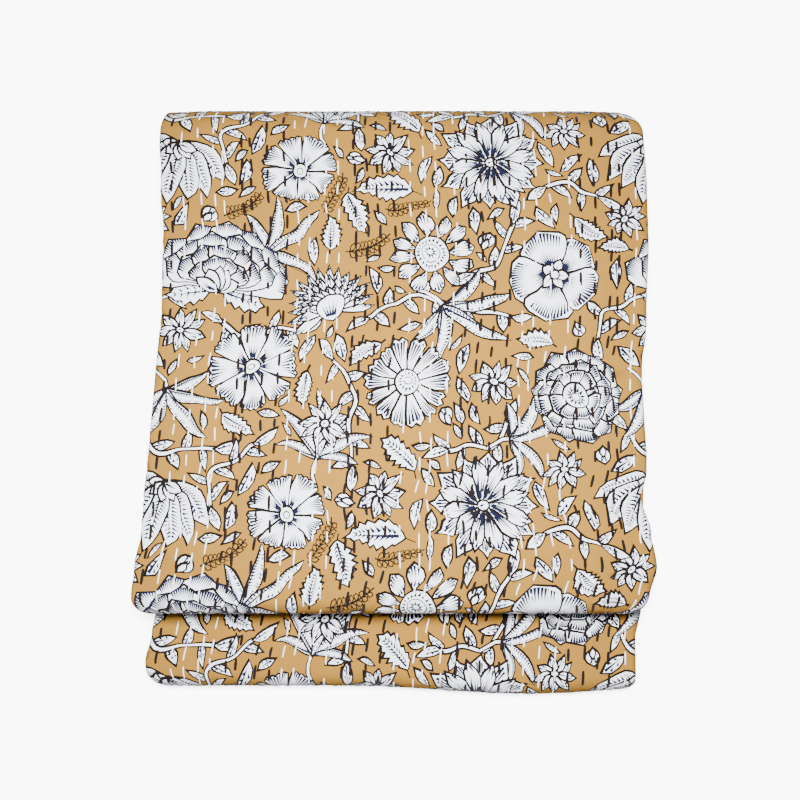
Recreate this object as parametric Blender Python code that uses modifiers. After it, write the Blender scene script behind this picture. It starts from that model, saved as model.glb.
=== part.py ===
"""A running-stitch quilt, folded in four across its width and in five along its length.

The quilt is one stitched cloth. It is laid out flat at its cut size as a grid, and every point of the
grid is then carried to its folded place. Across the width, both sides are folded to the middle and the
cloth is folded once more, so each layer is a strip of four plies with one round edge on the right and
two small ones on the left. The strip is folded back and forth in five layers: three in the lower half,
two in the upper half, with a deep roll at the back that wraps them all.

Metres, +Z up. +X is to the right of the bundle and +Y to its back. The origin is on the surface that
the bundle lies on, under its middle.
"""

import math
from collections import namedtuple

import bmesh
import bpy

# Cloth and cut size
CUT_WIDTH = 1.524
CUT_LENGTH = 2.032
CLOTH_THICKNESS = 0.0022
PLY_PITCH = 0.0028
LAYER_GAP = 0.0006
PLIES_IN_STRIP = 4
LAYER_PITCH = PLIES_IN_STRIP * PLY_PITCH + LAYER_GAP

# Rows of running stitch run along the length, and the cloth is thinner in each
STITCH_ROWS = 34
ROW_THICKNESS_SHARE = 0.45

# Where the folds and loose ends lie
UPPER_SETBACK = 0.052
HEM_TUCK = 0.0027
LOWER_END_SHORT = 0.040
UPPER_END_SHORT = 0.008

# The lower lip bulges forward on the right
LOWER_BULGE = 0.006

# Fold radii at the middle of the cloth or of the strip
SIDE_FOLD_RADIUS = PLY_PITCH / 2
EDGE_FOLD_RADIUS = 1.5 * PLY_PITCH
LIP_RADIUS = LAYER_PITCH / 2
ROLL_RADIUS = 2 * LAYER_PITCH
STRIP_HALF = 1.5 * PLY_PITCH + CLOTH_THICKNESS / 2

# Run of each ply and layer between its folds, worked out from the cut size
PLY_RUN = (CUT_WIDTH + 2 * HEM_TUCK - math.pi * (2 * SIDE_FOLD_RADIUS + EDGE_FOLD_RADIUS)) / PLIES_IN_STRIP
FOLDED_WIDTH = PLY_RUN + SIDE_FOLD_RADIUS + EDGE_FOLD_RADIUS + CLOTH_THICKNESS
LAYER_RUN = (
    CUT_LENGTH
    + 3 * UPPER_SETBACK
    + LOWER_END_SHORT
    + UPPER_END_SHORT
    - math.pi * (3 * LIP_RADIUS + ROLL_RADIUS)
) / 5
UPPER_RUN = LAYER_RUN - UPPER_SETBACK
FOLDED_DEPTH = LAYER_RUN + LIP_RADIUS + ROLL_RADIUS + 2 * STRIP_HALF

# Landmarks of the bundle
FRONT_Y = -(FOLDED_DEPTH - LOWER_BULGE) / 2
UPPER_FRONT_Y = FRONT_Y + UPPER_SETBACK
BACK_Y = FRONT_Y + FOLDED_DEPTH
ROLL_Y = BACK_Y - ROLL_RADIUS - STRIP_HALF
BOTTOM_Z = STRIP_HALF
HALF_WIDTH = FOLDED_WIDTH / 2

# The bundle isn't square: it leans to the left towards the front, and settles at its sides
LEAN = 0.026
SIDE_SHIFT = -0.0012
SIDE_SETTLE = 0.06
SIDE_SETTLE_REACH = 0.045
UPPER_LIP_SAG = 0.006
SAG_REACH = 0.050
WAVE_SHARE = 0.012
WAVE_LENGTH_X = 0.19
WAVE_LENGTH_Y = 0.23
BULGE_X = 0.108
BULGE_REACH = 0.14
CORNER_REACH = 0.055

# Corners of the outline seen from above
BACK_LEFT_CORNER = 0.004
BACK_RIGHT_CORNER = 0.030
UPPER_LEFT_CORNER = 0.013
UPPER_RIGHT_CORNER = 0.014
LOWER_LEFT_CORNER = 0.018
LOWER_RIGHT_CORNER = 0.006

Stretch = namedtuple("Stretch", "name bend radius run parts")
Station = namedtuple("Station", "place outward name share")
EdgeRow = namedtuple("EdgeRow", "share left right")

# Across the cut: bend 0 lies flat, +1 turns with the printed face outside, -1 with it inside
ACROSS = (
    Stretch("ply C", 0, 0, PLY_RUN - HEM_TUCK, 2),
    Stretch("left fold CD", 1, SIDE_FOLD_RADIUS, 0, 3),
    Stretch("ply D", 0, 0, PLY_RUN, 2),
    Stretch("right fold", 1, EDGE_FOLD_RADIUS, 0, 4),
    Stretch("ply A", 0, 0, PLY_RUN, 2 * STITCH_ROWS),
    Stretch("left fold AB", 1, SIDE_FOLD_RADIUS, 0, 3),
    Stretch("ply B", 0, 0, PLY_RUN - HEM_TUCK, 2),
)

# Along the cut, from the loose end of the third layer to the loose end of the fourth
ALONG = (
    Stretch("layer 3", 0, 0, UPPER_RUN - LOWER_END_SHORT, 2),
    Stretch("inner fold", -1, LIP_RADIUS, 0, 3),
    Stretch("layer 2", 0, 0, LAYER_RUN, 3),
    Stretch("lower lip", 1, LIP_RADIUS, 0, 4),
    Stretch("layer 1", 0, 0, LAYER_RUN, 3),
    Stretch("back roll", 1, ROLL_RADIUS, 0, 5),
    Stretch("layer 5", 0, 0, UPPER_RUN, 6),
    Stretch("upper lip", 1, LIP_RADIUS, 0, 4),
    Stretch("layer 4", 0, 0, UPPER_RUN - UPPER_END_SHORT, 3),
)

# How far each side of the top layer draws in, by share of the way from its back to its front
TOP_EDGE = (
    EdgeRow(0.00, -0.0045, -0.0014),
    EdgeRow(0.12, -0.0006, -0.0032),
    EdgeRow(0.24, 0.0045, -0.0036),
    EdgeRow(0.42, 0.0074, -0.0006),
    EdgeRow(0.54, 0.0064, 0.0040),
    EdgeRow(0.74, 0.0054, 0.0016),
    EdgeRow(0.80, 0.0044, 0.0062),
    EdgeRow(0.87, 0.0048, -0.0006),
    EdgeRow(0.94, 0.0012, -0.0046),
    EdgeRow(1.00, -0.0006, 0.0008),
)

# The same for the lower half, by share of the way from its front to its back
LOWER_EDGE = (
    EdgeRow(0.00, 0.0075, 0.0068),
    EdgeRow(0.04, 0.0080, 0.0067),
    EdgeRow(0.08, 0.0112, 0.0066),
    EdgeRow(0.13, 0.0138, 0.0018),
    EdgeRow(0.55, 0.0085, 0.0045),
    EdgeRow(1.00, 0.0040, 0.0020),
)
LOWER_HALF = ("layer 3", "inner fold", "layer 2", "lower lip", "layer 1")


def ease(t):
    """0 before 0, 1 after 1, and smooth between."""
    t = min(1.0, max(0.0, t))
    return t * t * (3 - 2 * t)


def stations(stretches, start, heading):
    """Walks the stretches from a start, as complex numbers, and gives a station at each part's end."""
    place = start
    found = [Station(place, -1j * heading, stretches[0].name, 0.0)]
    for stretch in stretches:
        centre = place + 1j * heading * stretch.bend * stretch.radius
        for part in range(1, stretch.parts + 1):
            if stretch.bend:
                turn = complex(math.cos(math.pi / stretch.parts), stretch.bend * math.sin(math.pi / stretch.parts))
                place = centre + (place - centre) * turn
                heading *= turn
            else:
                place += heading * stretch.run / stretch.parts
            found.append(Station(place, -1j * heading, stretch.name, part / stretch.parts))
    return found


def read_edge(table, share):
    """Left and right inset at a share of the way through a table, smooth between its rows."""
    for before, after in zip(table, table[1:]):
        if share <= after.share:
            t = ease((share - before.share) / (after.share - before.share))
            return before.left + (after.left - before.left) * t, before.right + (after.right - before.right) * t
    return table[-1].left, table[-1].right


def edge_at(station, y):
    """How far the left and right sides draw in at a station along the length."""
    if station.name in LOWER_HALF:
        return read_edge(LOWER_EDGE, (y - FRONT_Y) / FOLDED_DEPTH)
    if station.name == "back roll":
        under, over = read_edge(LOWER_EDGE, 1), read_edge(TOP_EDGE, 0)
        climb = ease(station.share)
        return tuple(low + (high - low) * climb for low, high in zip(under, over))
    share = {"layer 5": station.share, "upper lip": 1.0, "layer 4": 1 - station.share}[station.name]
    return read_edge(TOP_EDGE, share)


def rounded(corner, distance):
    """How far a corner of that radius stands in, at a distance from the edge that it meets."""
    if distance >= corner:
        return 0.0
    rest = 1 - max(0.0, distance) / corner
    return corner * (1 - math.sqrt(max(0.0, 1 - rest * rest)))


def corner_inset(right, y, station):
    """How far the outline's corners draw a side in at that depth."""
    if station.name in LOWER_HALF:
        front = rounded(LOWER_RIGHT_CORNER if right else LOWER_LEFT_CORNER, y - FRONT_Y)
    elif station.name == "back roll":
        front = 0.0
    else:
        front = rounded(UPPER_RIGHT_CORNER if right else UPPER_LEFT_CORNER, y - UPPER_FRONT_Y)
    back = rounded(BACK_RIGHT_CORNER if right else BACK_LEFT_CORNER, BACK_Y - y)
    return front + back


def settled(x, y, z, station):
    """Where a neatly folded point lies once the bundle has leaned, sagged and settled."""
    upper = station.name in ("layer 5", "upper lip", "layer 4")
    left, right = edge_at(station, y)
    share = (x + HALF_WIDTH) / FOLDED_WIDTH
    near_left = ease((CORNER_REACH - (x + HALF_WIDTH)) / CORNER_REACH)
    near_right = ease((CORNER_REACH - (HALF_WIDTH - x)) / CORNER_REACH)
    placed_x = -HALF_WIDTH + left + share * (FOLDED_WIDTH - left - right)
    placed_x += near_left * corner_inset(False, y, station) - near_right * corner_inset(True, y, station)
    placed_x += LEAN * y + SIDE_SHIFT

    placed_y = y
    if station.name in LOWER_HALF:
        bulge = 1 - ease(abs(x - BULGE_X) / BULGE_REACH)
        placed_y -= LOWER_BULGE * bulge * (ROLL_Y - y) / (ROLL_Y - FRONT_Y)

    near_side = ease((SIDE_SETTLE_REACH - (HALF_WIDTH - abs(x))) / SIDE_SETTLE_REACH)
    wave = math.sin(2 * math.pi * x / WAVE_LENGTH_X + 0.7) * math.cos(2 * math.pi * y / WAVE_LENGTH_Y + 0.4)
    base = CLOTH_THICKNESS / 2
    placed_z = base + (z - base) * (1 - SIDE_SETTLE * near_side + WAVE_SHARE * wave)
    if upper:
        placed_z -= UPPER_LIP_SAG * ease((UPPER_FRONT_Y + SAG_REACH - y) / SAG_REACH)
    return placed_x, placed_y, placed_z


def stitched_thickness(column, columns_before_ply, station):
    """Share of the full thickness: less in each stitch row of the outer ply, and full on the underside."""
    place = column - columns_before_ply
    on_outer_ply = 0 < place < 2 * STITCH_ROWS
    if on_outer_ply and place % 2 == 1 and station.name != "layer 1":
        return ROW_THICKNESS_SHARE
    return 1.0


def cloth_material():
    """Printed cotton, seen here as its ground colour."""
    material = bpy.data.materials.new("printed_cotton")
    material.use_nodes = True
    shader = material.node_tree.nodes["Principled BSDF"]
    shader.inputs["Base Color"].default_value = (0.58, 0.38, 0.16, 1)
    shader.inputs["Roughness"].default_value = 0.9
    shader.inputs["Metallic"].default_value = 0.0
    return material


def make_quilt(collection):
    """The whole quilt as one sheet of even cloth, folded, then given its thickness."""
    across = stations(ACROSS, complex(HALF_WIDTH - STRIP_HALF - HEM_TUCK, -PLY_PITCH / 2), complex(-1, 0))
    third_layer_end = complex(ROLL_Y - UPPER_RUN + LOWER_END_SHORT, BOTTOM_Z + 2 * LAYER_PITCH)
    along = stations(ALONG, third_layer_end, complex(1, 0))
    columns, rows = len(across), len(along)
    columns_before_ply = sum(s.parts for s in ACROSS[:4])

    cut = bmesh.new()
    bmesh.ops.create_grid(cut, x_segments=columns - 1, y_segments=rows - 1, size=0.5)
    mesh = bpy.data.meshes.new("quilt")
    cut.to_mesh(mesh)
    cut.free()
    quilt = bpy.data.objects.new("quilt", mesh)
    collection.objects.link(quilt)

    stitched = quilt.vertex_groups.new(name="thickness")
    for vertex in mesh.vertices:
        column = round((vertex.co.x + 0.5) * (columns - 1))
        section = across[column]
        layer = along[round((vertex.co.y + 0.5) * (rows - 1))]
        lifted = layer.place + section.place.imag * layer.outward
        vertex.co = settled(section.place.real, lifted.real, lifted.imag, layer)
        stitched.add([vertex.index], stitched_thickness(column, columns_before_ply, layer), "REPLACE")

    body = quilt.modifiers.new("cloth", "SOLIDIFY")
    body.thickness = CLOTH_THICKNESS
    body.offset = 0
    body.use_even_offset = True
    body.vertex_group = stitched.name
    mesh.materials.append(cloth_material())
    mesh.shade_smooth()
    return quilt


def main():
    for old in list(bpy.data.objects):
        bpy.data.objects.remove(old)
    bundle = bpy.data.collections.new("folded_quilt")
    bpy.context.scene.collection.children.link(bundle)
    make_quilt(bundle)


main()
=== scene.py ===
import math
import random
from collections import namedtuple

import bpy
import numpy as np
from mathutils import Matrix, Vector
from mathutils.geometry import delaunay_2d_cdt


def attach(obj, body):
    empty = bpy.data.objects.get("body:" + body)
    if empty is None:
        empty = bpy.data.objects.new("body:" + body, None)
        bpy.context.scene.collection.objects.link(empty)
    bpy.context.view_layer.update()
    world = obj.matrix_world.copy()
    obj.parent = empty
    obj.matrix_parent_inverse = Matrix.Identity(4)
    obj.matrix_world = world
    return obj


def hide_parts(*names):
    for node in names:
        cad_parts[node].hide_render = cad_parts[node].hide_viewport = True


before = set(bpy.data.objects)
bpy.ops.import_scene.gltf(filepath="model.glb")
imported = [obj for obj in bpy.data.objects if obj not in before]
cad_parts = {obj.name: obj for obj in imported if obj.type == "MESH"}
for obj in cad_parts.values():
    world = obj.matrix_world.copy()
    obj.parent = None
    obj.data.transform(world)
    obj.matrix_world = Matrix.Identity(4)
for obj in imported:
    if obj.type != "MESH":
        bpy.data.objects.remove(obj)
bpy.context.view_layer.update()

# The folds: the quilt is one cloth, with both sides folded to its middle and then in half, so that a layer
# is a strip of four plies, and the strip is laid back and forth in five layers with a deep roll behind.
# Nothing holds it but its own weight. Sizes are in metres, and are those of the solid that it replaces.
CUT_WIDTH = 1.524
CUT_LENGTH = 2.032
CLOTH_THICKNESS = 0.0022
PLY_PITCH = 0.0028
LAYER_GAP = 0.0006
LAYER_PITCH = 4 * PLY_PITCH + LAYER_GAP
STACK_HEIGHT = 5 * LAYER_PITCH
STITCH_ROWS = 34
UPPER_SETBACK = 0.052
HEM_TUCK = 0.0027
LOWER_END_SHORT = 0.040
UPPER_END_SHORT = 0.008
LOWER_BULGE = 0.006
SIDE_FOLD_RADIUS = PLY_PITCH / 2
EDGE_FOLD_RADIUS = 1.5 * PLY_PITCH
LIP_RADIUS = LAYER_PITCH / 2
ROLL_RADIUS = 2 * LAYER_PITCH
STRIP_HALF = 1.5 * PLY_PITCH + CLOTH_THICKNESS / 2
PLY_RUN = (CUT_WIDTH + 2 * HEM_TUCK - math.pi * (2 * SIDE_FOLD_RADIUS + EDGE_FOLD_RADIUS)) / 4
FOLDED_WIDTH = PLY_RUN + SIDE_FOLD_RADIUS + EDGE_FOLD_RADIUS + CLOTH_THICKNESS
LAYER_RUN = (
    CUT_LENGTH
    + 3 * UPPER_SETBACK
    + LOWER_END_SHORT
    + UPPER_END_SHORT
    - math.pi * (3 * LIP_RADIUS + ROLL_RADIUS)
) / 5
UPPER_RUN = LAYER_RUN - UPPER_SETBACK
FOLDED_DEPTH = LAYER_RUN + LIP_RADIUS + ROLL_RADIUS + 2 * STRIP_HALF
FRONT_Y = -(FOLDED_DEPTH - LOWER_BULGE) / 2
UPPER_FRONT_Y = FRONT_Y + UPPER_SETBACK
BACK_Y = FRONT_Y + FOLDED_DEPTH
ROLL_Y = BACK_Y - ROLL_RADIUS - STRIP_HALF
HALF_WIDTH = FOLDED_WIDTH / 2

# How the bundle leans, settles, waves and bulges, and how its corners are rounded
LEAN = 0.026
SIDE_SHIFT = -0.0012
SIDE_SETTLE = 0.06
SIDE_SETTLE_REACH = 0.045
UPPER_LIP_SAG = 0.006
SAG_REACH = 0.050
WAVE_SHARE = 0.012
WAVE_LENGTH_X = 0.19
WAVE_LENGTH_Y = 0.23
WAVE_START_X = 0.7
WAVE_START_Y = 0.4
BULGE_X = 0.108
BULGE_REACH = 0.14
CORNER_REACH = 0.055
BACK_LEFT_CORNER = 0.004
BACK_RIGHT_CORNER = 0.030
UPPER_LEFT_CORNER = 0.013
UPPER_RIGHT_CORNER = 0.014
LOWER_LEFT_CORNER = 0.018
LOWER_RIGHT_CORNER = 0.006

Stretch = namedtuple("Stretch", "name bend radius run cells")
EdgeRow = namedtuple("EdgeRow", "share left right")

# Bend 0 lies flat, +1 turns with the printed face outside and -1 with it inside
ACROSS = (
    Stretch("ply C", 0, 0, PLY_RUN - HEM_TUCK, 4),
    Stretch("left fold CD", 1, SIDE_FOLD_RADIUS, 0, 6),
    Stretch("ply D", 0, 0, PLY_RUN, 6),
    Stretch("right fold", 1, EDGE_FOLD_RADIUS, 0, 8),
    Stretch("ply A", 0, 0, PLY_RUN, 12),
    Stretch("left fold AB", 1, SIDE_FOLD_RADIUS, 0, 6),
    Stretch("ply B", 0, 0, PLY_RUN - HEM_TUCK, 6),
)
ALONG = (
    Stretch("layer 3", 0, 0, UPPER_RUN - LOWER_END_SHORT, 8),
    Stretch("inner fold", -1, LIP_RADIUS, 0, 6),
    Stretch("layer 2", 0, 0, LAYER_RUN, 12),
    Stretch("lower lip", 1, LIP_RADIUS, 0, 10),
    Stretch("layer 1", 0, 0, LAYER_RUN, 12),
    Stretch("back roll", 1, ROLL_RADIUS, 0, 14),
    Stretch("layer 5", 0, 0, UPPER_RUN, 12),
    Stretch("upper lip", 1, LIP_RADIUS, 0, 10),
    Stretch("layer 4", 0, 0, UPPER_RUN - UPPER_END_SHORT, 10),
)

# How far each side draws in: of the top from its back to its front, of the lower half from front to back
TOP_EDGE = (
    EdgeRow(0.00, -0.0045, -0.0014),
    EdgeRow(0.12, -0.0006, -0.0032),
    EdgeRow(0.24, 0.0045, -0.0036),
    EdgeRow(0.42, 0.0074, -0.0006),
    EdgeRow(0.54, 0.0064, 0.0040),
    EdgeRow(0.74, 0.0054, 0.0016),
    EdgeRow(0.80, 0.0044, 0.0062),
    EdgeRow(0.87, 0.0048, -0.0006),
    EdgeRow(0.94, 0.0012, -0.0046),
    EdgeRow(1.00, -0.0006, 0.0008),
)
LOWER_EDGE = (
    EdgeRow(0.00, 0.0075, 0.0068),
    EdgeRow(0.04, 0.0080, 0.0067),
    EdgeRow(0.08, 0.0112, 0.0066),
    EdgeRow(0.13, 0.0138, 0.0018),
    EdgeRow(0.55, 0.0085, 0.0045),
    EdgeRow(1.00, 0.0040, 0.0020),
)

# Soft creases of the top, from one end to the other, seen from above: the depth is negative for a trough.
# Each bows sideways by a share of its length, and fades at its ends and down through the layers.
CREASE_BOW = 0.12
CREASE_FADE = 2.2
CREASE_FADE_DOWN = 3
Crease = namedtuple("Crease", "x0 y0 x1 y1 width depth")
CREASES = (
    Crease(-0.165, 0.150, -0.060, 0.175, 0.016, -0.0012),
    Crease(0.060, 0.178, 0.185, 0.130, 0.014, 0.0012),
    Crease(-0.190, 0.010, -0.110, -0.020, 0.013, -0.0013),
    Crease(0.120, 0.030, 0.195, 0.060, 0.015, -0.0012),
    Crease(0.150, -0.105, 0.200, -0.085, 0.010, -0.0016),
    Crease(-0.210, -0.140, -0.120, -0.115, 0.014, 0.0012),
    Crease(0.020, -0.150, 0.120, -0.135, 0.013, -0.0010),
    Crease(-0.060, 0.040, 0.050, 0.070, 0.020, 0.0008),
)


def ease(t):
    """0 before 0, 1 after 1, and smooth between."""
    t = np.clip(t, 0.0, 1.0)
    return t * t * (3 - 2 * t)


def walked(stretches, start, heading):
    """Where each stretch begins, its heading there, and the lengths of the middle of the cloth and strip."""
    place, begins, headings, runs = start, [], [], []
    for s in stretches:
        begins.append(place)
        headings.append(heading)
        runs.append(math.pi * s.radius if s.bend else s.run)
        place += 2j * heading * s.bend * s.radius if s.bend else heading * s.run
        heading *= -1 if s.bend else 1
    return np.array(begins), np.array(headings), np.array(runs)


def on_path(stretches, walk, distance):
    """Place and outward direction at each distance, as complex numbers, with the stretch and share of it."""
    begins, headings, runs = walk
    starts = np.concatenate([[0], np.cumsum(runs)])
    index = np.clip(np.searchsorted(starts, distance, side="right") - 1, 0, len(runs) - 1)
    into = distance - starts[index]
    bend = np.array([s.bend for s in stretches])[index]
    radius = np.array([s.radius or 1.0 for s in stretches])[index]
    turned = np.exp(1j * bend * into / radius)
    round_the_bend = 1j * headings[index] * bend * radius * (1 - turned)
    place = begins[index] + np.where(bend == 0, headings[index] * into, round_the_bend)
    return place, -1j * headings[index] * turned, index, into / runs[index]


def read_edge(table, share):
    """Left and right inset at shares of the way through a table, smooth between its rows."""
    at = np.array([row.share for row in table])
    before = np.clip(np.searchsorted(at, share) - 1, 0, len(at) - 2)
    t = ease((share - at[before]) / (at[before + 1] - at[before]))
    sides = [np.array([getattr(row, side) for row in table]) for side in ("left", "right")]
    return [side[before] + (side[before + 1] - side[before]) * t for side in sides]


def rounded(corner, distance):
    """How far a corner of that radius stands in, at a distance from the edge that it meets."""
    rest = 1 - np.clip(distance, 0, corner) / corner
    return corner * (1 - np.sqrt(np.maximum(0.0, 1 - rest * rest)))


def settled(x, y, z, stretch, share):
    """Where neatly folded points lie once the bundle has leaned, sagged and settled."""
    names = np.array([s.name for s in ALONG])[stretch]
    lower = np.isin(names, ("layer 3", "inner fold", "layer 2", "lower lip", "layer 1"))
    roll = names == "back roll"
    top_share = np.where(names == "upper lip", 1.0, np.where(names == "layer 4", 1 - share, share))
    climb = np.where(lower, 0.0, np.where(roll, ease(share), 1.0))
    under = read_edge(LOWER_EDGE, np.where(roll, 1.0, (y - FRONT_Y) / FOLDED_DEPTH))
    over = read_edge(TOP_EDGE, np.where(roll, 0.0, top_share))
    left, right = (a + (b - a) * climb for a, b in zip(under, over))

    insets = []
    for low_corner, top_corner, back_corner in (
        (LOWER_LEFT_CORNER, UPPER_LEFT_CORNER, BACK_LEFT_CORNER),
        (LOWER_RIGHT_CORNER, UPPER_RIGHT_CORNER, BACK_RIGHT_CORNER),
    ):
        front = np.where(lower, rounded(low_corner, y - FRONT_Y), rounded(top_corner, y - UPPER_FRONT_Y))
        insets.append(np.where(roll, 0.0, front) + rounded(back_corner, BACK_Y - y))
    near_left = ease((CORNER_REACH - (x + HALF_WIDTH)) / CORNER_REACH)
    near_right = ease((CORNER_REACH - (HALF_WIDTH - x)) / CORNER_REACH)
    placed_x = -HALF_WIDTH + left + (x + HALF_WIDTH) / FOLDED_WIDTH * (FOLDED_WIDTH - left - right)
    placed_x += near_left * insets[0] - near_right * insets[1] + LEAN * y + SIDE_SHIFT

    bulge = 1 - ease(np.abs(x - BULGE_X) / BULGE_REACH)
    placed_y = y - np.where(lower, LOWER_BULGE * bulge * (ROLL_Y - y) / (ROLL_Y - FRONT_Y), 0.0)

    near_side = ease((SIDE_SETTLE_REACH - (HALF_WIDTH - np.abs(x))) / SIDE_SETTLE_REACH)
    wave = np.sin(2 * math.pi * x / WAVE_LENGTH_X + WAVE_START_X)
    wave *= np.cos(2 * math.pi * y / WAVE_LENGTH_Y + WAVE_START_Y)
    base = CLOTH_THICKNESS / 2
    placed_z = base + (z - base) * (1 - SIDE_SETTLE * near_side + WAVE_SHARE * wave)
    placed_z -= np.where(lower | roll, 0.0, UPPER_LIP_SAG * ease((UPPER_FRONT_Y + SAG_REACH - y) / SAG_REACH))
    placed_z += creased(placed_x, placed_y) * np.clip(z / STACK_HEIGHT, 0, 1) ** CREASE_FADE_DOWN
    return np.stack([placed_x, placed_y, placed_z], 1)


def creased(x, y):
    """Height of the creases seen from above: each is a soft ridge or trough that fades at its ends."""
    height = np.zeros_like(x)
    for c in CREASES:
        along = np.array([c.x1 - c.x0, c.y1 - c.y0])
        reach = np.linalg.norm(along)
        along /= reach
        ahead = ((x - c.x0) * along[0] + (y - c.y0) * along[1]) / reach
        aside = (x - c.x0) * -along[1] + (y - c.y0) * along[0]
        aside += CREASE_BOW * reach * np.sin(math.pi * np.clip(ahead, 0, 1))
        ends = ease(CREASE_FADE * ahead) * ease(CREASE_FADE * (1 - ahead))
        height += c.depth * np.exp(-((aside / c.width) ** 2)) * ends
    return height


across_walk = walked(ACROSS, complex(HALF_WIDTH - STRIP_HALF - HEM_TUCK, -PLY_PITCH / 2), complex(-1, 0))
along_start = complex(ROLL_Y - UPPER_RUN + LOWER_END_SHORT, STRIP_HALF + 2 * LAYER_PITCH)
along_walk = walked(ALONG, along_start, complex(1, 0))


def folded(across, along, height):
    """The folded place of points of the flat cut, each at a height above the middle of the cloth."""
    ply, ply_out, _, _ = on_path(ACROSS, across_walk, across)
    ply = ply + height * ply_out
    layer, layer_out, stretch, share = on_path(ALONG, along_walk, along)
    layer = layer + ply.imag * layer_out
    return settled(ply.real, layer.real, layer.imag, stretch, share)


# The cloth is longer on the outside of a fold than in its middle, so the print and the stitches are laid
# out by lengths of the printed face, in millimetres, and these lengths are taken back to the cut's.
def face_marks(stretches, walk, half):
    """Where each stretch begins on the cut and on the printed face, and its ends on the face by name."""
    middle = np.concatenate([[0], np.cumsum(walk[2])])
    grown = [run * (1 + half / s.radius) if s.bend > 0 else run for s, run in zip(stretches, walk[2])]
    face = np.concatenate([[0], np.cumsum(grown)]) * 1000
    return middle, face, {s.name: (face[i], face[i + 1]) for i, s in enumerate(stretches)}


across_marks, face_across, PLY = face_marks(ACROSS, across_walk, CLOTH_THICKNESS / 2)
along_marks, face_along, LAYER = face_marks(ALONG, along_walk, STRIP_HALF)


def from_face(p, q, height):
    """The folded place of points given in millimetres of the printed face."""
    return folded(np.interp(p, face_across, across_marks), np.interp(q, face_along, along_marks), height)


# The print: flowers, leaves and vines block-printed on the cloth before it was stitched, in white and then
# in dark line, on a dyed ground. The white block landed a little off the lines, so they are thicker to one
# side. All of it is drawn here in millimetres, on one repeat whose edges meet those of the next.
REPEAT_WIDE = 375.0
REPEAT_HIGH = 275.0
LINE_WIDTH = 1.5
# The finest strokes are drawn this many times as broad as the block's, so that they still show
STROKE_BOLDNESS = 2.1
UNEVEN_SIZE = 0.05
UNEVEN_TURN = 2.0
WHITE_SLIP = np.array([0.22, -0.18])
# A corner sharper than this is cut short where its outline is moved out
SHARPEST = 0.9
GROUND, WHITE, LINE, HATCH = range(4)

Shape = namedtuple("Shape", "ink points slips", defaults=(False,))
Bloom = namedtuple("Bloom", "draw x y turn size")
Vine = namedtuple("Vine", "x0 y0 x1 y1 bow")


def swollen(outline, by):
    """The outline moved out by that much, or in where it is negative."""
    ahead = np.roll(outline, -1, 0) - outline
    behind = outline - np.roll(outline, 1, 0)
    ahead /= np.maximum(np.linalg.norm(ahead, axis=1, keepdims=True), 1e-6)
    behind /= np.maximum(np.linalg.norm(behind, axis=1, keepdims=True), 1e-6)
    along = ahead + behind
    size = np.maximum(np.linalg.norm(along, axis=1, keepdims=True), SHARPEST)
    out = np.stack([along[:, 1], -along[:, 0]], 1) / size**2 * 2
    x, y = outline.T
    if np.sum(x * np.roll(y, -1) - y * np.roll(x, -1)) < 0:
        out = -out
    return outline + out * by


def wedge(start, end, width):
    """A stroke of a carved block: broad at its start and sharp at its end."""
    start, end = np.array(start, float), np.array(end, float)
    side = (end - start)[::-1] * (-1, 1)
    side *= width / 2 / np.linalg.norm(side)
    return np.array([start - side, end, start + side])


def band(points, width):
    """A strip of even width along a line."""
    points = np.asarray(points, float)
    along = np.gradient(points, axis=0)
    side = np.stack([-along[:, 1], along[:, 0]], 1)
    side *= width / 2 / np.linalg.norm(side, axis=1, keepdims=True)
    return np.concatenate([points - side, (points + side)[::-1]])


def disc(radius, sides):
    """A round outline about the origin."""
    turn = 2 * math.pi * np.arange(sides) / sides
    return radius * np.stack([np.cos(turn), np.sin(turn)], 1)


def petal(length, width, widest, sides=5, point=0.75):
    """A petal's outline, from its root at the origin along +X, broadest at that share of the way."""
    share = np.linspace(0, 1, sides + 1)
    half = width / 2 * np.sin(math.pi * share ** (math.log(0.5) / math.log(widest))) ** point
    upper = np.stack([share * length, half], 1)
    return np.concatenate([upper * (1, -1), upper[-2:0:-1]])


def jagged(length, width, teeth, jag=0.5):
    """A leaf's outline with teeth that point to its tip."""
    share = np.linspace(0.04, 0.94, 2 * teeth + 1)
    half = width / 2 * np.sin(math.pi * share**0.85) ** 0.75
    along = share * length
    half[1::2] *= 1 + jag
    along[1::2] += 0.035 * length
    upper = np.stack([along, half], 1)
    return np.concatenate([[(0, 0)], upper * (1, -1), [(length * 1.03, 0)], upper[::-1]])


def fringed(length, root, end, notches, depth=3.0):
    """A petal that widens from its root to a notched end."""
    across = np.linspace(-end / 2, end / 2, 2 * notches + 1)
    out = length - 0.012 * across**2 + np.where(np.arange(2 * notches + 1) % 2, 0, -depth) * 0.6
    rim = np.stack([out, across], 1)
    waist = (length * 0.6, end * 0.40)
    return np.concatenate([[(0, root / 2), (0, -root / 2), (waist[0], -waist[1])], rim, [waist]])


def inked(outline):
    """A printed piece: its outline in dark line and its body in white."""
    return [Shape(LINE, swollen(outline, LINE_WIDTH)), Shape(WHITE, outline, True)]


def hatch(*strokes):
    """Fine dark strokes, each from its broad end to its sharp end and of that width."""
    return [Shape(HATCH, wedge(start, end, width * STROKE_BOLDNESS)) for start, end, width in strokes]


def changed(shapes, change):
    """The same shapes with their points put through a change."""
    return [Shape(s.ink, change(s.points), s.slips) for s in shapes]


def bent(shapes, curve):
    """Shapes drawn straight along +X, bent to an arc; curve is one over its radius."""
    if not curve:
        return shapes

    def bend(points):
        """Points beside the X axis, laid beside the arc."""
        turn = points[:, 0] * curve
        reach = 1 / curve - points[:, 1]
        return np.stack([np.sin(turn) * reach, 1 / curve - np.cos(turn) * reach], 1)

    return changed(shapes, bend)


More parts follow.
